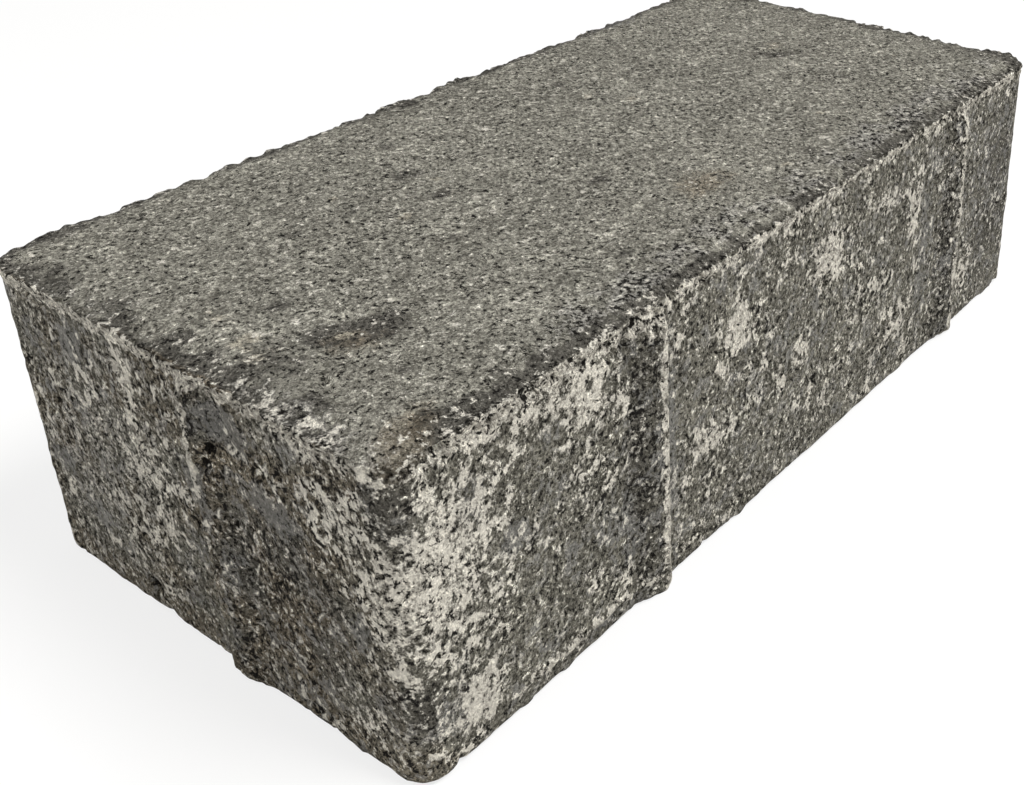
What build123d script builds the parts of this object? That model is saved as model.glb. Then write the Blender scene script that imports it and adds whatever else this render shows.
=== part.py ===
from build123d import *
import os

# A rectangular concrete paving stone, cast in one piece in a steel mould.
# Millimetres. The origin is under the middle of the stone, on the face that lies in the bed.
# +X runs along the length, +Y across the width and +Z up to the face that is walked on.

# The stone without its spacer ribs.
stone_length = 197.0
stone_width = 97.0
stone_thickness = 60.0
corner_radius = 5.0

# The tamper leaves a shallow bevel all round the walked face.
bevel_width = 3.5
bevel_drop = 1.0

# Spacer ribs keep the joint open between stones. A ramp leads up to a narrow crest with a steep back.
rib_projection = 1.5
rib_ramp_width = 5.0
rib_crest_width = 3.0
rib_back_width = 1.0
rib_top_gap = 1.5
rib_run_out = 3.0

# Middles of the crests, measured along each side from the corner that is nearest the viewer.
long_side_rib_places = (54.8, 162.4)
short_side_rib_places = (42.0,)

# Ribs on the opposite side stand this much nearer, so that two stones' ribs pass side by side.
rib_stagger = 9.5


def bevelled_stone():
    """The stone's body: rounded upright corners and the shallow bevel round the walked face."""
    outline = RectangleRounded(stone_length, stone_width, corner_radius)
    body = extrude(outline, amount=stone_thickness)
    walked_face = body.faces().sort_by(Axis.Z)[-1]
    return chamfer(
        walked_face.edges(),
        length=bevel_width,
        length2=bevel_drop,
        reference=walked_face,
    )


def spacer_rib():
    """One rib on a side that faces -Y, with its ramp towards -X. Its foot is on the plane y = 0."""
    root = rib_projection
    crest_start = -rib_crest_width / 2
    crest_end = rib_crest_width / 2
    foot_start = crest_start - rib_ramp_width
    foot_end = crest_end + rib_back_width
    plan = Polyline(
        (foot_start, root),
        (foot_start, 0),
        (crest_start, -rib_projection),
        (crest_end, -rib_projection),
        (foot_end, 0),
        (foot_end, root),
        close=True,
    )
    rib_height = stone_thickness - bevel_drop - rib_top_gap
    side = Polyline(
        (root, 0),
        (-rib_projection, 0),
        (-rib_projection, rib_height - rib_run_out),
        (0, rib_height),
        (root, rib_height),
        close=True,
    )
    upright = extrude(make_face(plan), amount=rib_height)
    across = extrude(Plane.YZ * make_face(side), amount=foot_end - foot_start, both=True)
    return upright & across


def long_side_ribs(rib):
    """The ribs on the two long sides. Every ramp starts on the side of the near end."""
    ribs = []
    for place in long_side_rib_places:
        near = Pos(place - stone_length / 2, -stone_width / 2) * rib
        ribs.append(near)
        ribs.append(Pos(-rib_stagger, 0) * mirror(near, about=Plane.XZ))
    return ribs


def short_side_ribs(rib):
    """The ribs on the two ends. Every ramp starts on the side of the near long side."""
    end_rib = Rot(Z=-90) * mirror(rib, about=Plane.YZ)
    ribs = []
    for place in short_side_rib_places:
        near = Pos(-stone_length / 2, place - stone_width / 2) * end_rib
        ribs.append(near)
        ribs.append(Pos(0, -rib_stagger) * mirror(near, about=Plane.YZ))
    return ribs


def paving_stone():
    """The whole casting: the bevelled stone with its ribs, as one solid."""
    rib = spacer_rib()
    return bevelled_stone() + long_side_ribs(rib) + short_side_ribs(rib)


os.makedirs("parts", exist_ok=True)
export_step(paving_stone(), "parts/paving_stone.step")
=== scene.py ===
import math
import random
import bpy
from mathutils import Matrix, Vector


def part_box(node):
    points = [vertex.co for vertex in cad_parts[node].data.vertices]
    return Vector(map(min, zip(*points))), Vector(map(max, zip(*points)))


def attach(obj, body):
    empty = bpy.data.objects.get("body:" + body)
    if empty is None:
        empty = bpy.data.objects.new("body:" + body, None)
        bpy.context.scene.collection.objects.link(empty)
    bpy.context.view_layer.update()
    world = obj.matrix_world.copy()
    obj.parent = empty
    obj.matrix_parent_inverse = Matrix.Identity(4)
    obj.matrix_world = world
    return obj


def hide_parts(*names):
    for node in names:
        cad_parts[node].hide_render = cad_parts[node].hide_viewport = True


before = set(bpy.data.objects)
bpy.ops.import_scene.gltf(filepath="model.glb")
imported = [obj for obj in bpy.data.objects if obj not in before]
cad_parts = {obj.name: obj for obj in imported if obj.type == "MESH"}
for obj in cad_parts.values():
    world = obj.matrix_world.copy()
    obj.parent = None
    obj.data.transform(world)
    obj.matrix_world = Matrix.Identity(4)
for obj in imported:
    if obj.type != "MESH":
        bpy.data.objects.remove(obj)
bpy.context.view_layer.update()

from types import SimpleNamespace

import bmesh
import bpy
import numpy as np
from mathutils import Vector, noise

bl_info = {
    "name": "Concrete paving stone",
    "version": (1, 0, 0),
    "blender": (4, 5, 0),
    "location": "3D View > Sidebar > Paving stone",
    "description": "Builds a cast concrete paving stone with its burr, pores and lime bloom",
    "category": "Add Mesh",
}

# Shapes are worked out in millimetres and turned to metres when they are stored.
MM = 1000.0
NODE = "paving_stone"
# The upper corner of the CAD solid's box, with the ribs, in metres.
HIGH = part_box(NODE)[1]

# ---- sizes and colours ----


def linear(hex_colour):
    """A six-digit sRGB hex colour as linear red, green, blue and alpha."""
    levels = [int(hex_colour[i:i + 2], 16) / 255 for i in (0, 2, 4)]
    plain = [v / 12.92 if v <= 0.04045 else ((v + 0.055) / 1.055) ** 2.4 for v in levels]
    return (*plain, 1.0)


def length_prop(name, description, millimetres):
    """A length that a user may change, stored in metres."""
    return bpy.props.FloatProperty(
        name=name, description=description, default=millimetres / MM,
        min=0.0, unit="LENGTH", precision=5,
    )


def colour_prop(name, description, hex_colour):
    """A colour that a user may change."""
    return bpy.props.FloatVectorProperty(
        name=name, description=description, default=linear(hex_colour),
        size=4, min=0.0, max=1.0, subtype="COLOR",
    )


class StoneSizes(bpy.types.PropertyGroup):
    rib_projection: length_prop(
        "Rib projection", "How far a spacer rib stands out from its side", 1.5
    )
    corner_radius: length_prop("Corner radius", "Radius of the upright corners", 5.0)
    bevel_width: length_prop("Bevel width", "Width of the pressed band round the walked face", 3.5)
    bevel_drop: length_prop("Bevel drop", "How far the pressed band falls towards the edge", 1.0)
    cell: length_prop("Cell", "Width of the mesh's coarsest cells", 1.9)
    burr: length_prop("Burr", "Height of the ragged burr along the upper edges", 0.7)
    cavity_depth: length_prop("Cavity depth", "Depth of the open cavities in the sides", 0.7)
    roughness_height: length_prop("Relief", "Height of the uneven relief of the sides", 0.22)


class StoneColours(bpy.types.PropertyGroup):
    walked: colour_prop("Walked face", "Dry cement and fine sand on the upper face", "949186")
    side: colour_prop("Sides", "Denser cement on the sides", "767369")
    # The lime also carries the painted highlight along the ribs' crest edges.
    bloom: colour_prop("Lime bloom", "Cream lime that has come out on the sides", "BAB5AA")
    film: colour_prop("Lime film", "Thin whitish veil of lime", "97948D")
    skin: colour_prop("Cement skin", "Smooth bluish skin that lay against the mould", "6B6A67")
    # The dense cement colour also paints part of the shade on the ribs' ramps.
    dark: colour_prop("Dense cement", "Dark cement where the tamper closed the surface", "56534D")
    stain: colour_prop("Stain", "Brown stain of the bedding sand", "7A6D59")
    crumb: colour_prop("Crumbs", "Light crumbs of sand beside the pits", "D0CCC1")
    stone: colour_prop("Pebble", "Light pebbles in the surface", "A09989")
    hollow: colour_prop("Hollows", "Shaded depth of pores and cavities", "120F0C")


# ---- where things are on the stone ----
#
# A blot is (along, up, half length, half height, turn in degrees, strength), in millimetres. On a
# side, along starts at the corner nearest the viewer and up at the bed. On top, the two are x and y
# from that corner.

LONG_BLOOM = (
    (5, 39.8, 15, 19, 0, 1.0),
    (11.8, 10.1, 4.6, 6.5, -8, 1.1),
    (38.2, 49.6, 5, 6, 0, 1.05),
    (30.7, 53.5, 12, 4, 10, 0.9),
    (46.7, 44.7, 2, 5, 20, 0.7),
    (36.1, 37.8, 3, 2.5, 0, 0.85),
    (25.7, 15.7, 1.4, 1.0, 20, 0.75),
    (31.4, 13.2, 1.6, 1.0, -20, 0.75),
    (34.4, 4.7, 19, 0.9, 0, 1.0),
    (56.2, 5.8, 1.7, 4, 0, 1.1),
    (55.7, 56.1, 3.4, 2.6, 0, 1.1),
    (78.3, 42.7, 3.0, 4.0, 0, 1.3),
    (72.5, 36.8, 2.4, 1.4, 0, 1.0),
    (68.7, 24.1, 5.0, 2.6, -12, 1.3),
    (76.3, 24, 1.6, 2.4, 0, 1.0),
    (107.9, 44.2, 5.4, 5.0, 0, 1.35),
    (113.9, 39.7, 4, 1.8, -30, 1.0),
    (99.5, 26.6, 2.8, 3.4, 20, 1.0),
    (92.5, 24.9, 1.5, 4, 15, 0.9),
    (96.5, 49.2, 2, 2, 0, 0.9),
    (102.3, 15.1, 1.6, 2.4, 0, 0.8),
    (128.5, 28.7, 3.4, 2.6, 0, 1.1),
    (143.1, 41.7, 2.6, 9, 0, 0.95),
    (137.5, 15.3, 7, 5, 0, 0.8),
    (142.5, 5.9, 1.4, 4, 0, 0.9),
    (107.5, 10.1, 5, 1.6, -10, 0.8),
    (169.7, 13.5, 6, 4, 0, 0.75),
    (132.3, 46.7, 4, 3, 40, 0.75),
)
END_BLOOM = (
    (2.9, 35, 6, 13, 0, 1.0),
    (9.7, 46.9, 9, 8, 0, 0.85),
    (60.8, 49.7, 2.4, 9, 0, 0.95),
    (58.8, 33.3, 6, 7, -25, 0.85),
    (57, 22.8, 3.2, 3.6, 0, 1.05),
    (64.9, 23.5, 2.2, 2.6, 0, 1.0),
    (64.2, 18.3, 4, 2.8, 0, 1.15),
    (59.5, 9.2, 1.6, 3.4, 0, 0.9),
    (76.4, 10.4, 1.8, 1.6, 0, 1.0),
    (35.3, 30.4, 1.4, 1.0, 30, 0.8),
    (11.7, 36, 1.6, 1.0, -30, 0.8),
    (11.7, 32.8, 1.2, 1, 0, 0.9),
    (87.2, 17.5, 1.8, 3.4, 10, 0.7),
    (9.9, 9, 5, 4.5, 0, 0.55),
    (73.8, 44.1, 3, 6, 30, 0.6),
    (46.5, 53.3, 3, 3, 0, 0.6),
    (14.5, 57, 6, 3.2, 0, 0.95),
    (25, 58, 5, 1.8, 0, 0.9),
)
LONG_SKIN = (
    (14, 45.7, 3, 6.5, 0, 1.0),
    (21.1, 34.6, 3.4, 3.4, 0, 1.1),
    (13.3, 30.2, 3, 4, 0, 0.7),
    (58.8, 30, 2, 26, 0, 0.8),
    (149.5, 29.6, 5, 27, 0, 0.75),
    (91.9, 32.8, 7, 4, 0, 0.7),
    (41.4, 22.3, 9, 8, 0, 0.6),
    (81, 54.7, 14, 2.5, 0, 0.6),
    (125.9, 39.7, 8, 5, 0, 0.5),
    (175.3, 34.6, 12, 18, 0, 0.5),
    (10.3, 10.1, 4.5, 6, 0, 1.0),
)
END_SKIN = (
    (34.1, 51.8, 5.5, 3.6, 0, 1.2),
    (27.3, 41, 12, 3.2, 8, 0.95),
    (9.8, 27.4, 2.4, 3.6, 0, 1.1),
    (46, 36.4, 2.6, 3.8, 0, 1.1),
    (73.9, 51.4, 4, 5, 0, 1.2),
    (86.9, 22, 4.4, 3, 15, 1.1),
    (20.6, 10.7, 3, 3, 0, 0.8),
    (25.4, 6.6, 9, 5, 0, 0.7),
    (52.2, 47.6, 4, 7, 0, 0.55),
    (42.2, 37.8, 1.6, 8, -4, 1.0),
)
LONG_DARK = (
    (-0.5, 53.4, 3.5, 7, 0, 1.1),
    (2.5, 14.9, 4.5, 6, 0, 0.9),
    # This blot and the next one, at 158 along, darken the ribs' ramps, partly with painted shade.
    (49.7, 30, 5, 28, 0, 0.75),
    (158, 27.6, 4, 26, 0, 0.85),
    (36.3, 3.2, 22, 1.8, 0, 0.7),
    (184, 30, 16, 32, 0, 0.75),
)
END_DARK = (
    (1.7, 52.8, 5, 6, 0, 1.1),
    (2.5, 16.5, 6, 5.5, 0, 0.9),
    (37.9, 10.8, 5, 12, 0, 0.6),
    (27, 26, 15, 17, 0, 1.1),
    (39.8, 45.5, 3, 4.5, 0, 0.8),
)
LONG_OPEN = (
    (5, 37.9, 17, 20, 0, 0.8),
    (49.2, 30, 6, 28, 0, 0.9),
    (158.4, 27.6, 4.5, 26, 0, 0.8),
    (70.2, 24.1, 9, 9, 0, 0.5),
    (104.9, 37.7, 10, 9, 0, 0.6),
    (137.5, 15.8, 8, 8, 0, 0.6),
    (32.1, 30.1, 14, 14, 0, 0.4),
)
END_OPEN = (
    (4.9, 29.2, 8, 26, 0, 0.7),
    (39.3, 45.5, 4.5, 6, 0, 1.2),
    (58.7, 30.5, 12, 12, 0, 0.8),
    (29, 29, 16, 14, 0, 0.95),
    (71.8, 30.8, 8, 10, 0, 0.5),
)
LONG_FILM = (
    (83.5, 30.9, 1.3, 6, 8, 0.9),
    (85.1, 23, 1.3, 5, -6, 0.9),
    (168.5, 4.8, 4, 0.8, 0, 0.7),
    (168.2, 50.8, 3, 3, 0, 0.5),
    (62.3, 18.3, 6, 1, 40, 0.7),
    (170.6, 12.5, 7, 5, 0, 0.6),
    (34.4, 4.5, 19, 0.9, 0, 1.0),
    (7, 49.5, 6, 6, 0, 0.6),
)
TOP_DARK = (
    (20.5, 29.1, 6.8, 3.4, -28, 1.7),
    (18.2, 44.4, 2.2, 2, 0, 0.9),
    (60.6, 55, 1.8, 1.3, -20, 1.1),
    (82.4, 35.4, 2.2, 1.6, 0, 1.1),
    (75.5, 43.9, 1.4, 1.2, 0, 0.9),
    (63.1, 13, 1.6, 1.4, 0, 1.0),
    (17.5, 15.3, 1.4, 1.4, 0, 0.8),
    (50, 39.9, 1.6, 1.4, 0, 0.8),
    (34.4, 63, 1.8, 1.5, 0, 0.8),
    (46, 61.3, 2, 1.4, 0, 0.7),
    (62.4, 65.7, 3.4, 2.4, 0, 0.8),
    (115.2, 76.2, 1.6, 1.5, 0, 1.0),
    (136.9, 9.2, 2.6, 2.2, 0, 0.9),
    (118.5, 11.5, 1.8, 1.2, 0, 0.9),
    (158.4, 28.1, 1.4, 1.3, 0, 0.8),
    (162.5, 50.2, 1.8, 5, 35, 1.0),
    (69.5, 79.9, 2, 2.4, 0, 0.7),
    (6.7, 31.8, 6, 7, 0, 0.7),
    (3.8, 19.1, 3, 7, 0, 0.4),
    (193.7, 12.9, 8, 22, 0, 0.5),
    (93.2, 14, 8, 4, 0, 0.45),
)
TOP_STONE = (
    (18.4, 29.5, 1.5, 1.1, 0, 1.1),
    (50.4, 52.4, 1.5, 1.2, 0, 1.1),
    (64.4, 60.4, 0.9, 1.6, 20, 0.9),
    (47.4, 68.3, 1.1, 1.2, 0, 0.9),
    (114, 66.4, 1.3, 1, 0, 0.9),
    (118.7, 58.1, 2, 1.6, 0, 0.8),
    (178.4, 25.9, 1.2, 1, 0, 0.9),
    (136.2, 20.6, 1.2, 1.2, 0, 0.8),
    (109.5, 11.4, 2, 1.2, 0, 0.8),
    (166.9, 53.3, 3.4, 3, 0, 0.75),
    (8.6, 39.7, 2.4, 3, 0, 0.8),
    (10.5, 50.4, 1.6, 5, 0, 0.6),
    (7.6, 34.8, 3.6, 2, 0, 0.55),
)
TOP_STAIN = (
    (93.1, 19.1, 8, 5, 0, 0.8),
    (17.8, 27.1, 6, 4, -28, 0.7),
    (6, 2.5, 9, 4, 30, 0.9),
)
END_STAIN = (
    (63.9, 47, 3, 5, 0, 1.0),
    (62, 20, 6, 8, 0, 0.8),
)
END_FILM = (
    (75, 30, 19, 28, 0, 0.75),
    (7, 30, 9, 26, 0, 0.5),
    (62, 35, 8, 20, 0, 0.8),
    (18, 57, 13, 5, 0, 0.85),
)
MARKS = {
    "bloom": {"long": LONG_BLOOM, "end": END_BLOOM},
    "skin": {"long": LONG_SKIN, "end": END_SKIN},
    "dark": {"long": LONG_DARK, "end": END_DARK, "top": TOP_DARK},
    "open": {"long": LONG_OPEN, "end": END_OPEN},
    "film": {"long": LONG_FILM, "end": END_FILM},
    "stone": {"top": TOP_STONE},
    "stain": {"top": TOP_STAIN, "end": END_STAIN},
}

# A darker patch at the top of the near corner, seen on the end.
NEAR_CORNER_DARKENING = (0.3, 52, 3.8, 6.5, 0, 1.15)

# The two sides that the photograph doesn't show, with their lengths. Their blots lie at seeded
# random places: seed, how many and their half sizes, on the long side and on the end, and then
# their strengths.
FAR_SIDES = {"far_long": 197, "far_end": 97}
SIDE_HEIGHT = 58
SCATTERED = {
    "bloom": ((11, 26, (1.5, 7)), (12, 15, (1.5, 7)), (0.6, 1.1)),
    "skin": ((13, 14, (3, 9)), (14, 9, (3, 8)), (0.6, 1.1)),
    "dark": ((15, 8, (3, 7)), (16, 5, (3, 7)), (0.5, 0.9)),
    "open": ((17, 9, (6, 14)), (18, 5, (6, 12)), (0.5, 0.9)),
    "film": ((19, 8, (1.5, 6)), (20, 5, (1.5, 6)), (0.5, 0.9)),
}

# A dent is (along, up, radius, depth).
LONG_DENTS = (
    (26.4, 57.4, 2.0, 1.3), (9.6, 57.6, 1.8, 1.0), (36.9, 56.5, 1.3, 1.1), (47.6, 55, 1.5, 1.2),
    (49.9, 57.3, 1.6, 1.3), (55.3, 56.2, 1.1, 1.5), (107.6, 38.1, 1.5, 1.4), (137.7, 16, 1.3, 1.2),
    (43.2, 57, 1.0, 1.0), (18.4, 57.2, 1.2, 1.0), (31.7, 57.1, 0.9, 1.0), (67.4, 57.5, 1.0, 0.9),
    (80.1, 57.6, 1.1, 0.8), (62, 41.7, 1.1, 0.8), (71.7, 40.7, 1.0, 0.8),
)
END_DENTS = (
    (39.8, 44, 1.6, 1.4), (38.3, 47, 1.3, 1.3), (41.2, 42.2, 1.2, 1.2), (66.3, 5.4, 2.0, 1.5),
    (30.2, 57, 1.2, 1.0), (24.3, 57.6, 1.1, 1.5), (18.2, 57.4, 1.4, 1.7), (51.3, 57.1, 1.0, 0.8),
    (62.2, 52.1, 1.2, 0.9), (64.3, 28.7, 1.4, 1.1), (59.7, 38.1, 1.2, 1.0), (69.1, 38.3, 1.2, 1.1),
    (36, 24.2, 1.1, 1.0), (30.2, 18.3, 1.1, 0.9), (43.6, 22.4, 1.1, 0.9),
)
TOP_DENTS = (
    (9.2, 22.1, 1.1, 1.0), (47.8, 29.2, 1.0, 0.7), (29.9, 83.4, 1.0, 0.7), (32.1, 72.4, 1.0, 0.6),
    (1.2, 68.3, 1.0, 0.8), (10.3, 82.5, 1.0, 0.8), (20.5, 29.1, 4.5, 0.35), (162, 50.2, 4.5, 0.6),
    (3.2, 11.2, 1.0, 0.6), (5.9, 7.7, 1.0, 0.7), (23.5, 8, 1.0, 0.5), (27.3, 4.8, 1.2, 0.8),
)
DENTS = {"long": LONG_DENTS, "end": END_DENTS, "top": TOP_DENTS}

# Crest middles of the ribs, from the near corner, and how much nearer they stand on the opposite
# side. The mesh is finer from a little before a rib's ramp to a little behind its back.
LONG_RIBS = (54.8, 162.4)
END_RIBS = (42.0,)
RIB_STAGGER = 9.5
RIB_RAMP, RIB_CREST, RIB_BACK = 5.0, 3.0, 1.0
RIB_TOP, RIB_RUN_OUT = 57.5, 3.0
FINE_BEFORE, FINE_BEHIND = 7.0, 3.6

# A low ridge that the mould left along the foot of the near long side: its height above the bed,
# and between which heights and places the mesh is finer for it.
RIDGE_HEIGHT = 4.5
RIDGE_FINE_UP, RIDGE_FINE_ALONG = (2.9, 6.1), (15, 52)

# The fine strip at the rim: how far down the side and how far in on top.
RIM_FINE_DOWN, RIM_FINE_IN = 4.6, 2.9

# Noise that shapes and colours every face: size of its grains in millimetres, octaves and seed.
COARSE = (11, 2, 2)
MEDIUM = (4.5, 2, 3)
LUMPS = (1.7, 2, 4)
CAVES = (2.6, 3, 5)
BAND_WAVES = (7, 2, 1)
RIB_WEAR_AND_HIGHLIGHT = (7, 2, 6)
FOOT_WAVES = (9, 3, 7)
SKIN_SPOTS = (5, 2, 8)
BENDS = ((3.6, 3, 9), (3.6, 3, 10))
# How far the blots are bent out of their ovals, in millimetres.
BEND = 1.6

# Two places nearer than this are the same, in millimetres. A vertex lies on a flat side, and not on
# a rounded corner, where its normal points out by more than FACING.
TOUCH = 0.01
FACING = 0.99

# Side of the square sheet that the faces are laid out on, in millimetres.
SHEET = 280

# What each vertex carries to the material.
FINISHES = ("bloom", "skin", "open", "hollow", "dark", "film", "stain", "stone", "walked")


# ---- the mesh ----


def grid_box(size, cell):
    """A box of even cells on z = 0, made by cutting a cube's edges one direction after another."""
    bm = bmesh.new()
    bmesh.ops.create_cube(bm, size=1.0)
    bmesh.ops.scale(bm, vec=size, verts=bm.verts)
    bmesh.ops.translate(bm, vec=(0, 0, size[2] / 2), verts=bm.verts)
    for axis in range(3):
        along = [e for e in bm.edges if abs(e.verts[0].co[axis] - e.verts[1].co[axis]) > 1e-6]
        cuts = round(size[axis] / cell) - 1
        bmesh.ops.subdivide_edges(bm, edges=along, cuts=cuts, use_grid_fill=True)
    return bm


def halve_cells(bm, wanted):
    """Halve the cells of the faces whose middle passes the test."""
    edges = {e for f in bm.faces if wanted(f.calc_center_median()) for e in f.edges}
    bmesh.ops.subdivide_edges(
        bm, edges=list(edges), cuts=1, use_grid_fill=True, use_single_edge=True
    )


def rib_offset(along, ribs):
    """Distance from the nearest rib's crest middle. The ramp is on the negative side."""
    gaps = np.array([np.asarray(along) - place for place in ribs])
    return gaps[np.abs(gaps).argmin(0), np.arange(gaps.shape[1])]


def near_rib(point, half_x, half_y):
    """Whether a point of the box lies on a rib's foot."""
    if point.z > RIB_TOP + 0.5:
        return False
    if abs(abs(point.y) - half_y) < TOUCH:
        along, places = point.x + half_x, LONG_RIBS
        shift = 0 if point.y < 0 else RIB_STAGGER
    elif abs(abs(point.x) - half_x) < TOUCH:
        along, places = point.y + half_y, END_RIBS
        shift = 0 if point.x < 0 else RIB_STAGGER
    else:
        return False
    return any(-FINE_BEFORE < along - place + shift < FINE_BEHIND for place in places)


def speckle(points, size, octaves, seed):
    """Fractal noise with grains of that size in millimetres, about -1 to 1, read at every point."""
    shift = Vector((seed * 17.3, seed * 7.7, seed * -11.9))
    return np.array([noise.fractal(Vector(p) / size + shift, 0.8, 2.0, octaves) for p in points])


def smooth(value, low, high):
    """Smooth step from 0 at low to 1 at high."""
    t = np.clip((value - low) / (high - low), 0, 1)
    return t * t * (3 - 2 * t)


def blots(along, up, depth, table, reach=5.0):
    """The strongest blot at every point: 1 in its middle, a half at its edge. It fades with the
    distance below the face."""
    total = np.zeros(len(along))
    for middle, height, half_a, half_u, turn, strength in table:
        c, s = math.cos(math.radians(turn)), math.sin(math.radians(turn))
        a, u = along - middle, up - height
        across, upright = (a * c + u * s) / half_a, (u * c - a * s) / half_u
        away = np.sqrt(across ** 2 + upright ** 2 + (depth / reach) ** 2)
        total = np.maximum(total, strength * np.clip(1 - 0.5 * away ** 1.6, 0, 1))
    return total


def dents(along, up, depth, table):
    """Depth of the single cavities at every point."""
    total = np.zeros(len(along))
    for middle, height, radius, deep in table:
        away = np.sqrt((along - middle) ** 2 + (up - height) ** 2 + depth ** 2) / radius
        total = np.maximum(total, deep * (1 - smooth(away, 0.35, 1.15)))
    return total


def scattered(seed, length, count, half, strength):
    """A table of blots at seeded random places on a side of that length."""
    rng = random.Random(seed)
    table = []
    for _ in range(count):
        size = rng.uniform(*half)
        table.append((
            rng.uniform(0, length),
            rng.uniform(4, SIDE_HEIGHT - 2),
            size,
            size * rng.uniform(0.5, 1.3),
            rng.uniform(-60, 60),
            rng.uniform(*strength),
        ))
    return tuple(table)


def body_size(sizes):
    """Half the body's length, half its width, and its height, without the ribs."""
    rib = sizes.rib_projection * MM
    return HIGH.x * MM - rib, HIGH.y * MM - rib, HIGH.z * MM


def rounded_body(box, sizes):
    """Rounds the box's upright corners and lowers the pressed band. Returns what is known at each
    vertex: its place, which way it faces and the noise there."""
    at = SimpleNamespace()
    at.half_x, at.half_y, at.top = body_size(sizes)
    radius, drop = sizes.corner_radius * MM, sizes.bevel_drop * MM
    x, y, up = box.T.copy()
    at.in_x, at.in_y = at.half_x - np.abs(x), at.half_y - np.abs(y)
    at.inset = np.minimum(at.in_x, at.in_y)
    at.wall = at.inset < TOUCH
    at.is_top = up > at.top - TOUCH
    at.is_bed = up < TOUCH

    # Each corner square of the box turns into a quarter of a disc.
    corner = (at.in_x < radius) & (at.in_y < radius)
    u = np.where(corner, (radius - at.in_x) / radius, (at.in_x <= at.in_y) * 1.0)
    v = np.where(corner, (radius - at.in_y) / radius, (at.in_x > at.in_y) * 1.0)
    diagonal = np.maximum(np.hypot(u, v), 1e-6)
    reach = np.maximum(u, v)
    sign_x, sign_y = np.sign(x), np.sign(y)
    on_arc_x = at.half_x - radius + radius * reach * u / diagonal
    on_arc_y = at.half_y - radius + radius * reach * v / diagonal
    at.x = np.where(corner, sign_x * on_arc_x, x)
    at.y = np.where(corner, sign_y * on_arc_y, y)
    at.out_x, at.out_y = sign_x * u / diagonal, sign_y * v / diagonal
    at.turned = 2 * np.abs(at.out_x * at.out_y)

    # The pressed band round the walked face is a little wider at the near end.
    near_end = smooth(-at.x, at.half_x - 12, at.half_x - 5)
    band = sizes.bevel_width * MM * (0.9 + 0.4 * near_end)
    at.band = band * (1 + 0.18 * speckle(np.column_stack((at.x, at.y, up)), *BAND_WAVES))
    at.rim_height = at.top - drop
    lowered = at.top - drop * (1 - np.clip(at.inset / at.band, 0, 1))
    at.z = np.where(at.is_top, lowered, up * at.rim_height / at.top)
    at.place = np.column_stack((at.x, at.y, at.z))
    at.below_rim = at.rim_height - at.z

    at.side = np.clip(1 - at.inset / 1.0, 0, 1) * (~at.is_bed | at.wall)
    at.walked = np.where(at.is_top, np.clip(at.inset / 0.8, 0, 1), 0)
    at.near_side = at.y < 0
    at.on_end = at.out_x < -0.9
    at.along_x, at.along_y = at.x + at.half_x, at.y + at.half_y
    # How a vertex lies to each face: along it, up it and below it.
    at.faces = {
        "long": (at.along_x, at.z, at.along_y),
        "end": (at.along_y, at.z, at.along_x),
        "far_long": (at.along_x, at.z, at.half_y - at.y),
        "far_end": (at.along_y, at.z, at.half_x - at.x),
        "top": (at.along_x, at.along_y, at.top - at.z),
    }
    at.coarse, at.medium, at.lumps, at.caves = (
        speckle(at.place, *field) for field in (COARSE, MEDIUM, LUMPS, CAVES)
    )
    # The blots are bent out of their ovals, less so on top.
    bend_share = np.where(at.is_top, 0.35, 1)
    at.bends = [BEND * speckle(at.place, *field) * bend_share for field in BENDS]
    return at


def raise_finish(finish, name, values):
    """A finish is as strong as the strongest thing that brings it."""
    finish[name] = np.maximum(finish[name], values)


def placed_marks(at):
    """Every finish where the tables put it."""
    finish = {name: np.zeros(len(at.x)) for name in FINISHES}
    for name, by_face in MARKS.items():
        tables = dict(by_face)
        if name in SCATTERED:
            *sides, strength = SCATTERED[name]
            for (face, length), (seed, count, half) in zip(FAR_SIDES.items(), sides):
                tables[face] = scattered(seed, length, count, half, strength)
        for face, table in tables.items():
            along, up, depth = at.faces[face]
            bent = along + at.bends[0], up + at.bends[1]
            raise_finish(finish, name, blots(*bent, depth, table))
    return finish


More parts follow.
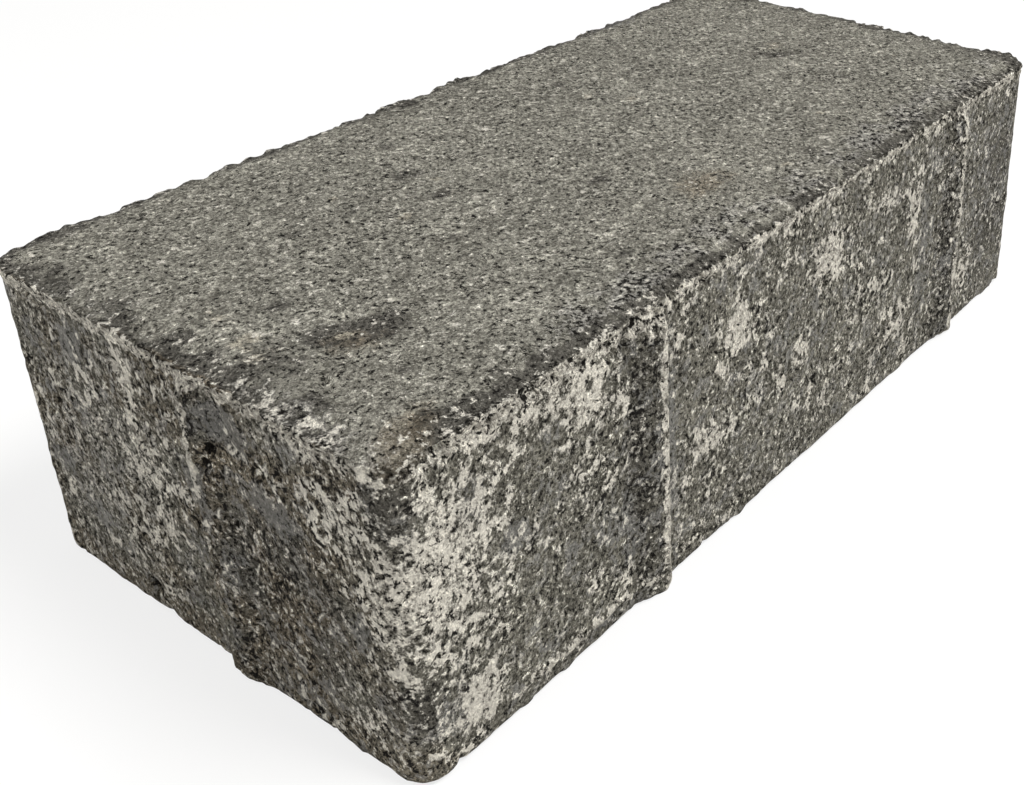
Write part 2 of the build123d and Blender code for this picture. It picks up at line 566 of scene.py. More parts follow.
def shape_ribs(at, finish, sizes):
    """How far the ribs stand out. Each has a porous ramp, partly darkened with painted shade, a
    bright crest edge that is partly worn lime and partly a painted highlight, and a smooth strip
    behind it."""
    rib_out = np.zeros(len(at.x))
    rib_up = 1 - np.clip((at.z - RIB_TOP + RIB_RUN_OUT) / RIB_RUN_OUT, 0, 1)
    crest_wear_and_highlight = 1.2 + 1.2 * speckle(at.place * np.array((0.3, 0.3, 1.0)), *RIB_WEAR_AND_HIGHLIGHT)
    crest_wear_and_highlight = crest_wear_and_highlight + 0.5 * smooth(at.z, 34, 40)
    for along, ribs, shift, facing, is_long in (
        (at.along_x, LONG_RIBS, 0, at.out_y < -FACING, True),
        (at.along_x, LONG_RIBS, RIB_STAGGER, at.out_y > FACING, True),
        (at.along_y, END_RIBS, 0, at.out_x < -FACING, False),
        (at.along_y, END_RIBS, RIB_STAGGER, at.out_x > FACING, False),
    ):
        gap = rib_offset(along + shift, ribs)
        ramp = np.clip((gap + RIB_CREST / 2 + RIB_RAMP) / RIB_RAMP, 0, 1)
        back = np.clip((RIB_CREST / 2 + RIB_BACK - gap) / RIB_BACK, 0, 1)
        rise = np.minimum(ramp, back) * facing * at.wall
        rib_out = np.maximum(rib_out, rise * sizes.rib_projection * MM * rib_up)

        seen = facing * at.wall * (at.z < RIB_TOP - 0.5)
        torn = gap + 0.35 * at.bends[0]
        crest_lime_and_highlight = smooth(torn, -0.4, 0.2) * (1 - smooth(torn, 2.4, 3.0)) * seen
        crest_worn_and_lit = crest_wear_and_highlight if is_long else (crest_wear_and_highlight - 0.35) * smooth(at.z, 12, 30)
        # The crest's bright edge goes into the lime: partly worn lime, partly a painted highlight.
        raise_finish(finish, "bloom", crest_lime_and_highlight * np.clip(crest_worn_and_lit, 0, 1.35))
        strip = smooth(gap, 2.3, 3.0) * (1 - smooth(gap, 4.5, 6.5)) * seen
        raise_finish(finish, "skin", 0.55 * strip)
        # The ramp before each crest is darker and more open: partly porous cement, partly painted
        # shade on the ramp.
        porous_and_shaded_ramp = smooth(gap, -10, -5.5) * (1 - smooth(gap, 0.3, 1.0)) * seen
        raise_finish(finish, "open", 0.85 * porous_and_shaded_ramp)
        raise_finish(finish, "dark", 0.6 * porous_and_shaded_ramp)
    return rib_out


def shape_rim(at, finish, sizes):
    """The crumbly cream rim under the upper edge, thicker near the corner. Returns how far its
    ragged burr stands out and up, and how much of the rim there is."""
    thick = 1 + 0.7 * smooth(-at.x, 35, 60) * smooth(-at.y, at.half_y - 3, at.half_y - 1)
    foot_of_rim = smooth(at.below_rim, 1.6 * thick, 3.4 * thick)
    rim = smooth(at.below_rim, -0.2, 0.5) * (1 - foot_of_rim) * at.side
    lime = 1.05 + 0.4 * at.on_end + 0.8 * at.medium + 0.4 * at.coarse + 0.4 * at.lumps
    raise_finish(finish, "bloom", np.clip(rim * lime, 0, 1.15))

    # The far sides' burr is finer, and no burr stands up where the side turns a corner.
    ragged_lumps = at.lumps * np.where(at.near_side, 1.0, 0.3)
    height = sizes.burr * MM
    lip = np.exp(-((at.z - at.rim_height) / (1.2 * thick)) ** 2) * np.clip(1 - at.inset / 1.1, 0, 1)
    burr = height * lip * np.clip(0.5 + 1.1 * ragged_lumps + 0.9 * at.medium, -0.8, 1.8)
    burr = burr * (1 - 0.7 * at.turned)
    lift = height * 0.7 * np.clip(0.3 + 0.6 * ragged_lumps + 0.7 * at.medium, -0.4, 1.2)
    at_edge = np.exp(-(at.below_rim / 1.0) ** 2) * np.clip(1 - at.inset / 1.3, 0, 1)
    lift = lift * at_edge * (at.z > at.top - 4) * (1 - 0.9 * at.turned)
    return burr, lift, rim


def open_sides(at, finish, rim, sizes):
    """How open each place is, and how deep its cavities are. Closed cement skin has few."""
    hole = np.zeros(len(at.x))
    for face, table in DENTS.items():
        hole = np.maximum(hole, dents(*at.faces[face], table))
    closed = np.clip(0.36 + 0.4 * speckle(at.place, *SKIN_SPOTS), 0, 0.65) * at.side * (1 - rim)
    raise_finish(finish, "skin", closed)
    at.smoothness = np.clip(finish["skin"], 0, 1)
    openness = np.clip(0.5 + 0.4 * at.coarse + 0.25 * at.medium + 0.15 * at.on_end, 0, 1) * at.side
    opened = np.clip(np.maximum(finish["open"], openness) - 0.6 * at.smoothness * at.side, 0, 1)
    opened = np.maximum(opened, np.where(at.on_end, 0.4, 0.7) * rim)
    finish["open"] = np.where(at.walked > 0.5, 0.2 + 0.3 * at.coarse, opened)
    threshold = 0.62 - 0.42 * finish["open"], 0.95 - 0.42 * finish["open"]
    cave = smooth(at.caves, *threshold) * at.side * (1 - 0.8 * at.smoothness)
    # The hollows lead the pits' painted shade into the dents and the cavities.
    finish["hollow"] = smooth(hole, 0.4, 1.3) + 0.25 * cave
    return np.maximum(hole, sizes.cavity_depth * MM * cave)


def side_relief(at, finish, sizes):
    """Uneven cement, lime that stands proud, a low ridge along the foot and an uneven foot."""
    rough = 0.6 * at.coarse + 0.7 * at.medium * (1 - 0.6 * at.smoothness)
    rough = rough + 1.1 * at.lumps * finish["open"]
    lime = 0.15 * np.clip(finish["bloom"] - 0.4, 0, 1) * (1 + at.lumps)
    ridge = 0.35 * np.exp(-((at.z - RIDGE_HEIGHT) / 0.6) ** 2) * (at.out_y < -FACING)
    ridge = ridge * smooth(at.along_x, 15, 18) * (1 - smooth(at.along_x, 49, 51))
    foot = np.exp(-at.z / 1.6) * at.side * (0.45 * speckle(at.place, *FOOT_WAVES) - 0.1)
    return (sizes.roughness_height * MM * rough + lime) * at.side + ridge + foot


def moved(at, finish, hole, rib_out, burr, lift, sizes):
    """The vertices' places once everything has pushed them out or up."""
    foot_wear = np.clip(0.8 + 0.7 * at.medium + 0.5 * at.coarse, 0.1, 1.5)
    foot_wear = foot_wear * np.exp(-((at.z / 0.9) ** 2))
    outward = side_relief(at, finish, sizes) + rib_out + burr
    outward = outward - 0.6 * foot_wear * at.wall - hole * at.side
    # The flat faces follow their rim: what moves it fades inwards.
    fade = np.where(at.is_bed, np.clip(1 - at.inset / 7, 0, 1), 1)
    fade = np.where(at.is_top, np.clip(1 - at.inset / 3, 0, 1), fade)
    outward = np.where(at.wall, outward, outward * fade)

    waves = 0.06 * at.medium + 0.05 * at.lumps + 0.1 * at.coarse * np.clip(at.inset / 8, 0, 1)
    upward = np.where(at.is_top, waves - hole, 0) + lift
    bed_relief = np.clip(0.25 + 0.35 * at.medium + 0.3 * at.coarse, 0, 1) * 0.5
    upward = upward + (bed_relief + foot_wear * np.clip(1 - at.inset / 1.5, 0, 1)) * at.is_bed

    place = at.place.copy()
    place[:, 0] += at.out_x * outward
    place[:, 1] += at.out_y * outward
    place[:, 2] = np.maximum(place[:, 2] + upward, 0)
    return place


def touch_up(at, finish):
    """The finishes that follow an edge, a corner or another finish."""
    at_corner = np.exp(-((at.along_x / 7) ** 2 + (at.along_y / 7) ** 2))
    band_dark = np.clip(1.4 - at.inset / at.band + 1.1 * at.medium, 0, 1)
    band_dark = band_dark * at.is_top * (1 - 0.8 * at_corner)
    raise_finish(finish, "dark", band_dark * (1 + 1.0 * at.coarse))

    # Beside the pressed band of the near long side the face is gritty, paler and full of pits.
    gritty = smooth(at.in_y, 1.5, 3) * (1 - smooth(at.in_y, 7, 12)) * at.is_top * at.near_side
    gritty = gritty * smooth(at.along_x, 24, 48)
    gritty = gritty * (0.8 + 1.1 * at.medium + 0.5 * at.coarse)
    gritty = np.clip(gritty * smooth(at.in_x, 4, 12), 0, 1)
    raise_finish(finish, "film", 0.9 * gritty)
    raise_finish(finish, "open", 0.85 * gritty)

    finish["walked"] = at.walked
    raise_finish(finish, "film", 0.85 * finish["bloom"] * at.side)
    raise_finish(finish, "film", 0.75 * at_corner * at.is_top)
    end_strip = at.is_top * (1 - smooth(at.along_x, 3, 6)) * smooth(at.along_y, 3, 8)
    raise_finish(finish, "film", 0.6 * end_strip * (1 - smooth(at.along_y, 20, 28)))
    # Specks of lime everywhere on the sides, fewer on dark cement and none in a hollow.
    speck = np.clip(0.16 + 0.35 * at.medium + 0.2 * at.coarse, 0, 0.5)
    speck = speck * (1 - 0.7 * np.clip(finish["dark"], 0, 1))
    lime = np.maximum(finish["bloom"], speck * at.side) * (1 - 0.7 * finish["hollow"])
    finish["bloom"] = np.clip(lime, 0, 1.2)

    # Darker at the top of the near corner, with less lime and film there.
    corner_darkening = np.clip(blots(*at.faces["end"], (NEAR_CORNER_DARKENING,)), 0, 1)
    finish["bloom"] = finish["bloom"] * (1 - 0.85 * corner_darkening)
    finish["film"] = finish["film"] * (1 - 0.7 * corner_darkening)
    finish["open"] = finish["open"] * (1 - 0.6 * corner_darkening)
    raise_finish(finish, "dark", 1.1 * corner_darkening)

    # The end and its foot are browned.
    foot_stain = smooth(-at.x, at.half_x - 16, at.half_x) * (1 - smooth(at.z, 4, 14)) * at.side
    raise_finish(finish, "stain", 0.7 * foot_stain)
    raise_finish(finish, "stain", (0.6 + 0.5 * at.coarse) * at.side * at.on_end * (1 - corner_darkening))


def cast_surface(box, sizes):
    """Turns the box's vertices into the cast surface, in millimetres. Returns their places and
    finishes."""
    at = rounded_body(box, sizes)
    finish = placed_marks(at)
    rib_out = shape_ribs(at, finish, sizes)
    burr, lift, rim = shape_rim(at, finish, sizes)
    hole = open_sides(at, finish, rim, sizes)
    place = moved(at, finish, hole, rib_out, burr, lift, sizes)
    touch_up(at, finish)
    return place, finish


def bake_map(mesh, box):
    """Lays the six faces out in one square sheet, so that the stone's grain keeps one scale on it."""
    loops = np.empty(len(mesh.loops), dtype=np.int32)
    mesh.loops.foreach_get("vertex_index", loops)
    starts = np.empty(len(mesh.polygons), dtype=np.int32)
    mesh.polygons.foreach_get("loop_start", starts)
    corners = box[loops]
    lowest = np.minimum.reduceat(corners, starts)
    highest = np.maximum.reduceat(corners, starts)
    counts = np.diff(np.append(starts, len(loops)))
    half_x, half_y, top = box[:, 0].max(), box[:, 1].max(), box[:, 2].max()
    x, y, z = corners.T
    x, y = x + half_x, y + half_y
    # Each face: which polygons are on it, and where their corners go on the sheet. The bed is
    # drawn smaller.
    faces = (
        (lowest[:, 2] > top - TOUCH, x + 1, y + 1),
        (highest[:, 1] < TOUCH - half_y, x + 1, z + 100),
        (lowest[:, 1] > half_y - TOUCH, x + 1, z + 162),
        (highest[:, 0] < TOUCH - half_x, z + 200, y + 1),
        (lowest[:, 0] > half_x - TOUCH, z + 200, y + 100),
        (highest[:, 2] < TOUCH, 0.55 * x + 1, 0.55 * y + 224),
    )
    uv = np.zeros((len(loops), 2), dtype=np.float32)
    for chosen, across, upwards in faces:
        mask = np.repeat(chosen, counts)
        uv[mask, 0] = across[mask] / SHEET
        uv[mask, 1] = upwards[mask] / SHEET
    layer = mesh.uv_layers.new(name="OFBake")
    layer.data.foreach_set("uv", uv.ravel())


def build_stone(sizes, material):
    """The whole casting as one closed mesh."""
    half_x, half_y, top = body_size(sizes)

    def above_bed(p):
        return p.z > TOUCH

    def on_detail(p):
        inset = min(half_x - abs(p.x), half_y - abs(p.y))
        at_rim = p.z > top - RIM_FINE_DOWN and inset < RIM_FINE_IN
        on_ridge = (
            p.y < TOUCH - half_y
            and RIDGE_FINE_UP[0] < p.z < RIDGE_FINE_UP[1]
            and RIDGE_FINE_ALONG[0] < p.x + half_x < RIDGE_FINE_ALONG[1]
        )
        return at_rim or on_ridge or near_rib(p, half_x, half_y)

    bm = grid_box((2 * half_x, 2 * half_y, top), sizes.cell * MM)
    halve_cells(bm, above_bed)
    halve_cells(bm, on_detail)
    mesh = bpy.data.meshes.new("cast_paving_stone")
    bm.to_mesh(mesh)
    bm.free()
    box = np.empty(len(mesh.vertices) * 3, dtype=np.float32)
    mesh.vertices.foreach_get("co", box)
    box = box.reshape(-1, 3).astype(float)
    bake_map(mesh, box)
    place, finish = cast_surface(box, sizes)
    mesh.vertices.foreach_set("co", (place / MM).astype(np.float32).ravel())
    for name, values in finish.items():
        layer = mesh.attributes.new(name, "FLOAT", "POINT")
        layer.data.foreach_set("value", np.clip(values, 0, 1.2).astype(np.float32))
    mesh.shade_smooth()
    mesh.materials.append(material)
    mesh.update()
    stone = bpy.data.objects.new("cast_paving_stone", mesh)
    bpy.context.scene.collection.objects.link(stone)
    return stone


# ---- the material ----
#
# Where a node has several sockets of one name, they go by number. On a Mix node 0 is the factor, 2
# and 3 are plain values, 6 and 7 are colours, and the colour comes out at 2. On a Map Range node 0
# is the value, 1 and 2 are where it comes from, and 3 and 4 where it goes.


def add(tree, kind, inputs, **settings):
    """Adds one node with its settings. An input is a plain value or the socket that feeds it."""
    node = tree.nodes.new(kind)
    for name, value in settings.items():
        setattr(node, name, value)
    for socket, value in inputs.items():
        if isinstance(value, bpy.types.NodeSocket):
            tree.links.new(value, node.inputs[socket])
        else:
            node.inputs[socket].default_value = value
    return node


WHITE = (1.0, 1.0, 1.0, 1.0)

# Noise patterns of the concrete: grain size in millimetres, octaves past the first, roughness,
# share in the tone and in the height. They are a little drawn out upwards, and turned, so that no
# face of the stone lies along their grid and shows its rows.
PATTERNS = {
    "grain": (0.4, 1.0, 0.8, 0.75, 0.7),
    "pores": (1.0, 4.0, 0.68, 0.5, 1.6),
    "crumbs": (2.2, 2.0, 0.6, 0.45, 2.2),
    "clouds": (11.0, 2.0, 0.6, 0.25, 0.0),
}
PATTERN_TURN = (0.5, 0.35, 0.6)
PATTERN_STRETCH = (1.0, 1.0, 0.85)

# Single grains of sand: their size in millimetres, share in the tone and in the height.
SAND = (0.55, 0.38, 0.5)

# What the tone and the height come out at where every pattern is at its middle.
TONE_MIDDLE, HEIGHT_MIDDLE = 0.5, 0.3

# How light a grain is beside its cement, by the tone: open gaps and grit in painted shade, cement,
# sand, and bare light sand that is partly a painted highlight. Then how far the sides and the
# walked face even that out.
GRAIN_AND_RELIEF_SHADE_STEPS = (
    (0.15, (0.055, 0.05, 0.043)),
    (0.34, (0.45, 0.44, 0.42)),
    (0.50, (1.0, 1.0, 1.0)),
    (0.66, (1.75, 1.75, 1.74)),
    (0.84, (3.0, 3.0, 2.97)),
)
SIDE_EVENING, TOP_EVENING = 0.05, 0.22

# Upright lines of dragged cement: their distance in millimetres, how much they are drawn out
# upwards and their share in the height.
DRAG_SIZE, DRAG_STRETCH, DRAG_RISE = 0.45, (1.0, 1.0, 0.09), 0.06

# What lies over the bare cement, in order. The mask is the attribute plus three patterns, each less
# its middle, times their spreads, read between low and high. Then how much of the colour shows, and
# how far it evens out the grain.
COATS = (
    # attribute, spread of grain, pores and crumbs, low, high, amount, evening
    ("dark", 0.3, 1.4, 1.6, 0.3, 0.75, 0.85, 0.0),
    ("stain", 0.0, 0.5, 1.0, 0.3, 0.8, 0.5, 0.0),
    ("film", 0.6, 2.0, 2.0, 0.3, 0.85, 0.7, 0.1),
    ("skin", 0.0, 2.0, 2.2, 0.42, 0.7, 0.75, 0.5),
    ("stone", 0.4, 1.4, 1.2, 0.45, 0.75, 0.7, 0.2),
    ("bloom", 0.6, 2.4, 2.8, 0.42, 0.8, 0.95, 0.2),
)
LIME_RISE = 0.12

# Light crumbs of sand show at the high end of the pores: from where to where, how strongly, and how
# far the walked face is moved away from it.
CRUMB_START, CRUMB_FULL, CRUMB_SHARE, CRUMB_WALKED = 0.572, 0.61, 0.85, -0.045

# Crisp pits show at the low end of the pores, painted dark as the shade inside them: from where to
# where, how dark, how deep, and how far open places, cavities and lime are moved towards it or away
# from it.
PIT_START, PIT_FULL, PIT_SHARE, PIT_RISE = 0.468, 0.444, 0.96, -0.45
PIT_OPEN, PIT_HOLLOW, PIT_LIME = -0.09, -0.11, 0.03

# Between two crumbs runs a crack, where the crumb pattern is at its level. There the pits and their
# painted shade draw out into short bent lines, and they close with the distance from it.
CRACK_LEVEL, CRACK_REACH, CRACK_CLOSING = 0.545, 0.035, 0.09

# Roughness of the open cement and of the closed skin, and the relief's height in millimetres.
OPEN_ROUGHNESS, SKIN_ROUGHNESS = 0.93, 0.62
RELIEF = 1.3


def sum_patterns(tree, place):
    """The noise patterns by name, and the tone and the height that they make together with single
    grains of sand. The tone goes with the height: light sand stands proud and gaps lie deep, so the
    tone also paints the relief's shade in the gaps and its light on what stands proud."""
    turned = add(
        tree, "ShaderNodeMapping",
        {"Vector": place, "Scale": PATTERN_STRETCH, "Rotation": PATTERN_TURN},
    ).outputs[0]
    sand_size, sand_share, sand_rise = SAND
    tone = TONE_MIDDLE - 0.5 * (sand_share + sum(share for *_, share, _ in PATTERNS.values()))
    height = HEIGHT_MIDDLE - 0.5 * (sand_rise + sum(rise for *_, rise in PATTERNS.values()))
    pattern = {}
    for name, (size, octaves, rough, share, rise) in PATTERNS.items():
        pattern[name] = add(
            tree, "ShaderNodeTexNoise",
            {"Vector": turned, "Scale": MM / size, "Detail": octaves, "Roughness": rough},
        ).outputs["Fac"]
        tone = add(
            tree, "ShaderNodeMath", {0: pattern[name], 1: share, 2: tone},
            operation="MULTIPLY_ADD",
        ).outputs[0]
        if rise:
            height = add(
                tree, "ShaderNodeMath", {0: pattern[name], 1: rise, 2: height},
                operation="MULTIPLY_ADD",
            ).outputs[0]

    sand = add(
        tree, "ShaderNodeTexVoronoi", {"Vector": place, "Scale": MM / sand_size}
    ).outputs["Color"]
    tone = add(
        tree, "ShaderNodeMath", {0: sand, 1: sand_share, 2: tone}, operation="MULTIPLY_ADD"
    ).outputs[0]
    height = add(
        tree, "ShaderNodeMath", {0: sand, 1: sand_rise, 2: height}, operation="MULTIPLY_ADD"
    ).outputs[0]
    return pattern, tone, height


def grain_with_painted_relief(tree, tone, walked):
    """How light each grain is beside its cement, with the relief's shade and light painted in, a
    little evener on the walked face.
    """
    grain = add(tree, "ShaderNodeValToRGB", {0: tone})
    steps = grain.color_ramp.elements
    while len(steps) < len(GRAIN_AND_RELIEF_SHADE_STEPS):
        steps.new(0.5)
    for step, (position, level) in zip(steps, GRAIN_AND_RELIEF_SHADE_STEPS):
        step.position = position
        step.color = level + (1.0,)
    evening = add(
        tree, "ShaderNodeMapRange", {0: walked, 3: SIDE_EVENING, 4: TOP_EVENING}
    ).outputs[0]
    return add(
        tree, "ShaderNodeMix", {0: evening, 6: grain.outputs["Color"], 7: WHITE},
        data_type="RGBA",
    ).outputs[2]


def drag_cement(tree, place, height):
    """The height with the faint upright lines that demoulding drags into the sides' cement."""
    drawn_out = add(tree, "ShaderNodeMapping", {"Vector": place, "Scale": DRAG_STRETCH})
    drag = add(
        tree, "ShaderNodeTexNoise",
        {"Vector": drawn_out.outputs[0], "Scale": MM / DRAG_SIZE,
         "Detail": 2.0, "Roughness": 0.6},
    ).outputs["Fac"]
    return add(
        tree, "ShaderNodeMath", {0: drag, 1: DRAG_RISE, 2: height}, operation="MULTIPLY_ADD"
    ).outputs[0]


def lay_coats(tree, read, pattern, colours, colour, grain, height):
    """Lays the coats over the cement, one after another. Returns the colour, the grain and the
    height with them, and each coat's mask."""
    masks = {}
    for name, *spreads, low, high, amount, evening in COATS:
        mixed = read[name]
        for grains, spread in zip(("grain", "pores", "crumbs"), spreads):
            if spread:
                mixed = add(
                    tree, "ShaderNodeMath", {0: pattern[grains], 1: spread, 2: mixed},
                    operation="MULTIPLY_ADD",
                ).outputs[0]
        middle = 0.5 * sum(spreads)
        mask = add(
            tree, "ShaderNodeMapRange", {0: mixed, 1: low + middle, 2: high + middle},
            interpolation_type="SMOOTHSTEP",
        ).outputs[0]
        masks[name] = mask
        shown = add(
            tree, "ShaderNodeMath", {0: mask, 1: amount}, operation="MULTIPLY"
        ).outputs[0]
        colour = add(
            tree, "ShaderNodeMix", {0: shown, 6: colour, 7: getattr(colours, name)},
            data_type="RGBA",
        ).outputs[2]
        if evening:
            evened = add(
                tree, "ShaderNodeMath", {0: mask, 1: evening}, operation="MULTIPLY"
            ).outputs[0]
            height = add(
                tree, "ShaderNodeMix", {0: evened, 2: height, 3: HEIGHT_MIDDLE},
                data_type="FLOAT",
            ).outputs[0]
            grain = add(
                tree, "ShaderNodeMix", {0: evened, 6: grain, 7: WHITE}, data_type="RGBA"
            ).outputs[2]
    height = add(
        tree, "ShaderNodeMath", {0: masks["bloom"], 1: LIME_RISE, 2: height},
        operation="MULTIPLY_ADD",
    ).outputs[0]
    return colour, grain, height, masks


def strew_crumbs(tree, read, pattern, masks, crumb_colour, colour):
    """The colour with light crumbs of sand beside the pits, but none on smooth skin."""
    crumb = add(
        tree, "ShaderNodeMath", {0: read["walked"], 1: CRUMB_WALKED, 2: pattern["pores"]},
        operation="MULTIPLY_ADD",
    ).outputs[0]
    crumb = add(
        tree, "ShaderNodeMapRange",
        {0: crumb, 1: CRUMB_START, 2: CRUMB_FULL, 3: 0.0, 4: CRUMB_SHARE},
        interpolation_type="SMOOTHSTEP",
    ).outputs[0]
    bare = add(
        tree, "ShaderNodeMath", {0: 1.0, 1: masks["skin"]}, operation="SUBTRACT"
    ).outputs[0]
    crumb = add(tree, "ShaderNodeMath", {0: crumb, 1: bare}, operation="MULTIPLY").outputs[0]
    return add(
        tree, "ShaderNodeMix", {0: crumb, 6: colour, 7: crumb_colour}, data_type="RGBA"
    ).outputs[2]


def find_pits(tree, read, pattern, masks):
    """Where the pits and cracks are, from 0 to 1."""
    level = pattern["pores"]
    for shifted_by, shift in (
        (read["open"], PIT_OPEN), (read["hollow"], PIT_HOLLOW), (masks["bloom"], PIT_LIME),
    ):
        level = add(
            tree, "ShaderNodeMath", {0: shifted_by, 1: shift, 2: level},
            operation="MULTIPLY_ADD",
        ).outputs[0]
    aside = add(
        tree, "ShaderNodeMath", {0: pattern["crumbs"], 1: CRACK_LEVEL}, operation="SUBTRACT"
    ).outputs[0]
    aside = add(tree, "ShaderNodeMath", {0: aside}, operation="ABSOLUTE").outputs[0]
    closing = add(
        tree, "ShaderNodeMapRange", {0: aside, 1: 0.0, 2: CRACK_REACH, 3: 0.0, 4: CRACK_CLOSING}
    ).outputs[0]
    level = add(tree, "ShaderNodeMath", {0: level, 1: closing}, operation="ADD").outputs[0]
    return add(
        tree, "ShaderNodeMapRange", {0: level, 1: PIT_START, 2: PIT_FULL, 3: 0.0, 4: 1.0},
        interpolation_type="SMOOTHSTEP",
    ).outputs[0]


def pressed_concrete(colours):
    """Dry pressed concrete: sand and cement with pinholes, dull all over, darker and more open on
    the sides, with a smooth cement skin in places and cream lime on what stands proud."""
    material = bpy.data.materials.new("dry_pressed_concrete")
    material.use_nodes = True
    tree = material.node_tree
    tree.nodes.clear()
    place = add(tree, "ShaderNodeTexCoord", {}).outputs["Object"]
    read = {
        name: add(tree, "ShaderNodeAttribute", {}, attribute_name=name).outputs["Fac"]
        for name in FINISHES
    }

    pattern, tone, height = sum_patterns(tree, place)
    grain = grain_with_painted_relief(tree, tone, read["walked"])
    height = drag_cement(tree, place, height)
    colour = add(
        tree, "ShaderNodeMix", {0: read["walked"], 6: colours.side, 7: colours.walked},
        data_type="RGBA",
    ).outputs[2]
    colour, grain, height, masks = lay_coats(
        tree, read, pattern, colours, colour, grain, height
    )
    colour = strew_crumbs(tree, read, pattern, masks, colours.crumb, colour)
    colour = add(
        tree, "ShaderNodeMix", {0: 1.0, 6: colour, 7: grain},
        data_type="RGBA", blend_type="MULTIPLY",
    ).outputs[2]

    pit = find_pits(tree, read, pattern, masks)
    # The pits and cracks are painted with the hollows' colour, as the shade inside them.
    shaded = add(
        tree, "ShaderNodeMath", {0: pit, 1: PIT_SHARE}, operation="MULTIPLY"
    ).outputs[0]
    colour = add(
        tree, "ShaderNodeMix", {0: shaded, 6: colour, 7: colours.hollow}, data_type="RGBA"
    ).outputs[2]
    height = add(
        tree, "ShaderNodeMath", {0: pit, 1: PIT_RISE, 2: height}, operation="MULTIPLY_ADD"
    ).outputs[0]

    # Dry concrete has no shine but a weak broad one, where the skin is closed.
    rough = add(
        tree, "ShaderNodeMapRange",
        {0: masks["skin"], 1: 0.0, 2: 1.0, 3: OPEN_ROUGHNESS, 4: SKIN_ROUGHNESS},
    ).outputs[0]
    bump = add(
        tree, "ShaderNodeBump", {"Height": height, "Distance": RELIEF / MM, "Strength": 1.0}
    )
    surface = add(
        tree, "ShaderNodeBsdfPrincipled",
        {"Base Color": colour, "Roughness": rough, "Normal": bump.outputs[0],
         "IOR": 1.5, "Specular IOR Level": 0.15},
    )
    add(tree, "ShaderNodeOutputMaterial", {"Surface": surface.outputs[0]})
    return material


# ---- the stage ----

# Side of the square floor in metres, and how much of it the camera sees as plain white.
FLOOR_SIZE, FLOOR_GLOW = 4.0, 0.75
WORLD_LIGHT = 0.36
# Each lamp: name, place, side of its square in metres and power in watts. They look at the stone.
LAMPS = (
    ("soft_box", (0.23, -0.62, 1.12), 0.5, 17.3),
    ("fill_box", (-0.75, 0.25, 0.95), 0.6, 4.2),
)
LAMP_TARGET = (0, 0, 0.03)

# The camera that was solved from the stone's own edges. The lens is shifted, because the photograph
# is a crop from one side of a wider picture.
CAMERA_PLACE = (-0.17959, -0.16149, 0.16216)
CAMERA_TURN = (63.692, -0.977, -55.160)
SENSOR, LENS = 36.0, 45.1654
LENS_SHIFT = (-0.2421, -0.1762)


def pale_floor():
    """A large matt white floor. The camera sees it lifted towards white, and the stone's shadow
    stays on it."""
    bm = bmesh.new()
    bmesh.ops.create_grid(bm, x_segments=1, y_segments=1, size=FLOOR_SIZE / 2)
    mesh = bpy.data.meshes.new("floor")
    bm.to_mesh(mesh)
    bm.free()
    material = bpy.data.materials.new("matt_white_card")
    material.use_nodes = True
    tree = material.node_tree
    tree.nodes.clear()
    card = add(tree, "ShaderNodeBsdfDiffuse", {"Color": linear("F2F1EE")})
    glow = add(tree, "ShaderNodeEmission", {"Color": WHITE, "Strength": 1.0})
    path = add(tree, "ShaderNodeLightPath", {})
    seen = add(
        tree, "ShaderNodeMath", {0: path.outputs["Is Camera Ray"], 1: FLOOR_GLOW},
        operation="MULTIPLY",
    )
    both = add(
        tree, "ShaderNodeMixShader", {0: seen.outputs[0], 1: card.outputs[0], 2: glow.outputs[0]}
    )
    add(tree, "ShaderNodeOutputMaterial", {"Surface": both.outputs[0]})
    mesh.materials.append(material)
    floor = bpy.data.objects.new("floor", mesh)
    bpy.context.scene.collection.objects.link(floor)


def studio_world():
    """Even grey light from all round. The camera sees plain white there."""
    world = bpy.data.worlds.new("studio")
    world.use_nodes = True
    tree = world.node_tree
    tree.nodes.clear()
    path = add(tree, "ShaderNodeLightPath", {})
    strength = add(
        tree, "ShaderNodeMapRange", {0: path.outputs["Is Camera Ray"], 3: WORLD_LIGHT, 4: 1.0}
    )
    sky = add(
        tree, "ShaderNodeBackground", {"Color": WHITE, "Strength": strength.outputs[0]}
    )
    add(tree, "ShaderNodeOutputWorld", {"Surface": sky.outputs[0]})
    bpy.context.scene.world = world


def soft_lamp(name, place, size, power):
    """A square soft box that looks at the stone."""
    lamp = bpy.data.lights.new(name, "AREA")
    lamp.size = size
    lamp.energy = power
    holder = bpy.data.objects.new(name, lamp)
    holder.location = place
    towards = Vector(LAMP_TARGET) - Vector(place)
    holder.rotation_euler = towards.to_track_quat("-Z", "Y").to_euler()
    bpy.context.scene.collection.objects.link(holder)


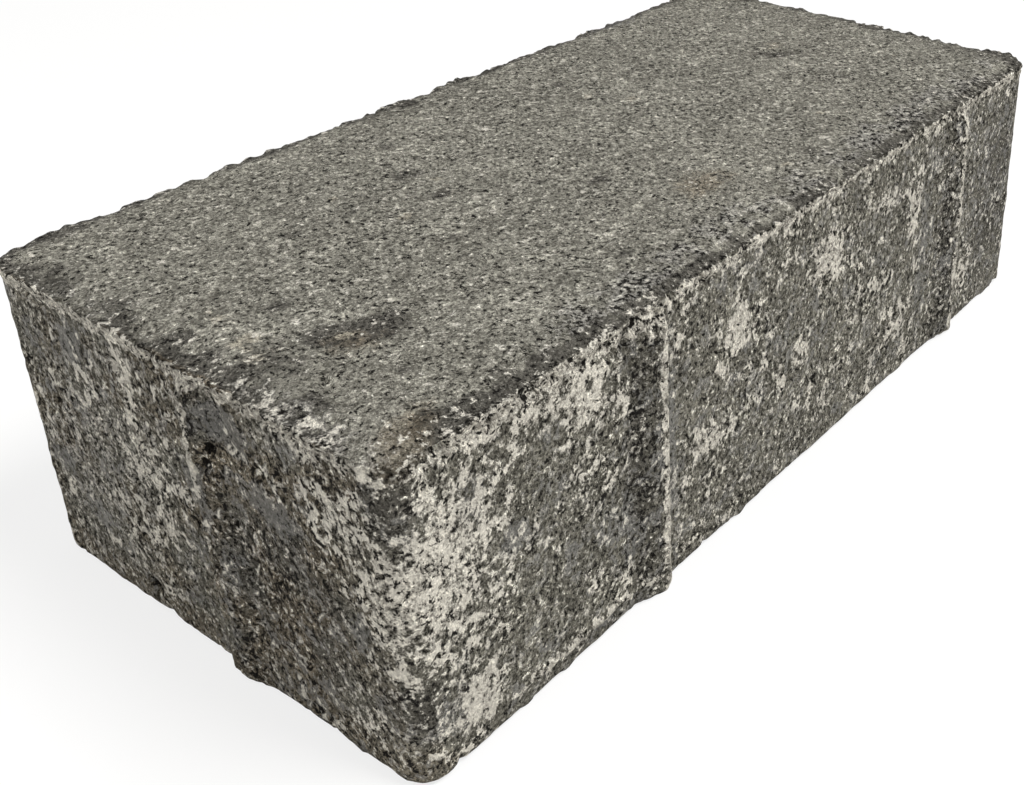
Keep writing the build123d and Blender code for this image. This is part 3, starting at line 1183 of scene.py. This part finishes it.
def camera():
    """The camera where the photograph was taken from."""
    lens = bpy.data.cameras.new("camera")
    lens.sensor_width = SENSOR
    lens.lens = LENS
    lens.shift_x, lens.shift_y = LENS_SHIFT
    lens.clip_start = 0.01
    holder = bpy.data.objects.new("camera", lens)
    holder.location = CAMERA_PLACE
    holder.rotation_euler = [math.radians(angle) for angle in CAMERA_TURN]
    bpy.context.scene.collection.objects.link(holder)
    bpy.context.scene.camera = holder


# ---- operators and panel ----


class PAVER_OT_stone(bpy.types.Operator):
    """Build the cast stone and let it stand for the CAD solid"""

    bl_idname = "paver.stone"
    bl_label = "Cast stone"

    def execute(self, context):
        scene = context.scene
        stone = build_stone(scene.stone_sizes, pressed_concrete(scene.stone_colours))
        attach(stone, "root")
        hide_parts(NODE)
        return {"FINISHED"}


class PAVER_OT_stage(bpy.types.Operator):
    """Set the floor, the light and the camera"""

    bl_idname = "paver.stage"
    bl_label = "Stage"

    def execute(self, context):
        context.scene.view_settings.view_transform = "Standard"
        pale_floor()
        studio_world()
        for lamp in LAMPS:
            soft_lamp(*lamp)
        camera()
        return {"FINISHED"}


class PAVER_PT_parts(bpy.types.Panel):
    bl_idname = "PAVER_PT_parts"
    bl_label = "Paving stone"
    bl_space_type = "VIEW_3D"
    bl_region_type = "UI"
    bl_category = "Paving stone"

    def draw(self, context):
        layout = self.layout
        for group in (context.scene.stone_sizes, context.scene.stone_colours):
            for name in group.__annotations__:
                layout.prop(group, name)
        layout.operator(PAVER_OT_stone.bl_idname)
        layout.operator(PAVER_OT_stage.bl_idname)


CLASSES = (StoneSizes, StoneColours, PAVER_OT_stone, PAVER_OT_stage, PAVER_PT_parts)


def register():
    for cls in CLASSES:
        bpy.utils.register_class(cls)
    bpy.types.Scene.stone_sizes = bpy.props.PointerProperty(type=StoneSizes)
    bpy.types.Scene.stone_colours = bpy.props.PointerProperty(type=StoneColours)


def unregister():
    del bpy.types.Scene.stone_colours
    del bpy.types.Scene.stone_sizes
    for cls in reversed(CLASSES):
        bpy.utils.unregister_class(cls)


def main():
    register()
    bpy.ops.paver.stone()
    bpy.ops.paver.stage()


if __name__ == "__main__":
    main()
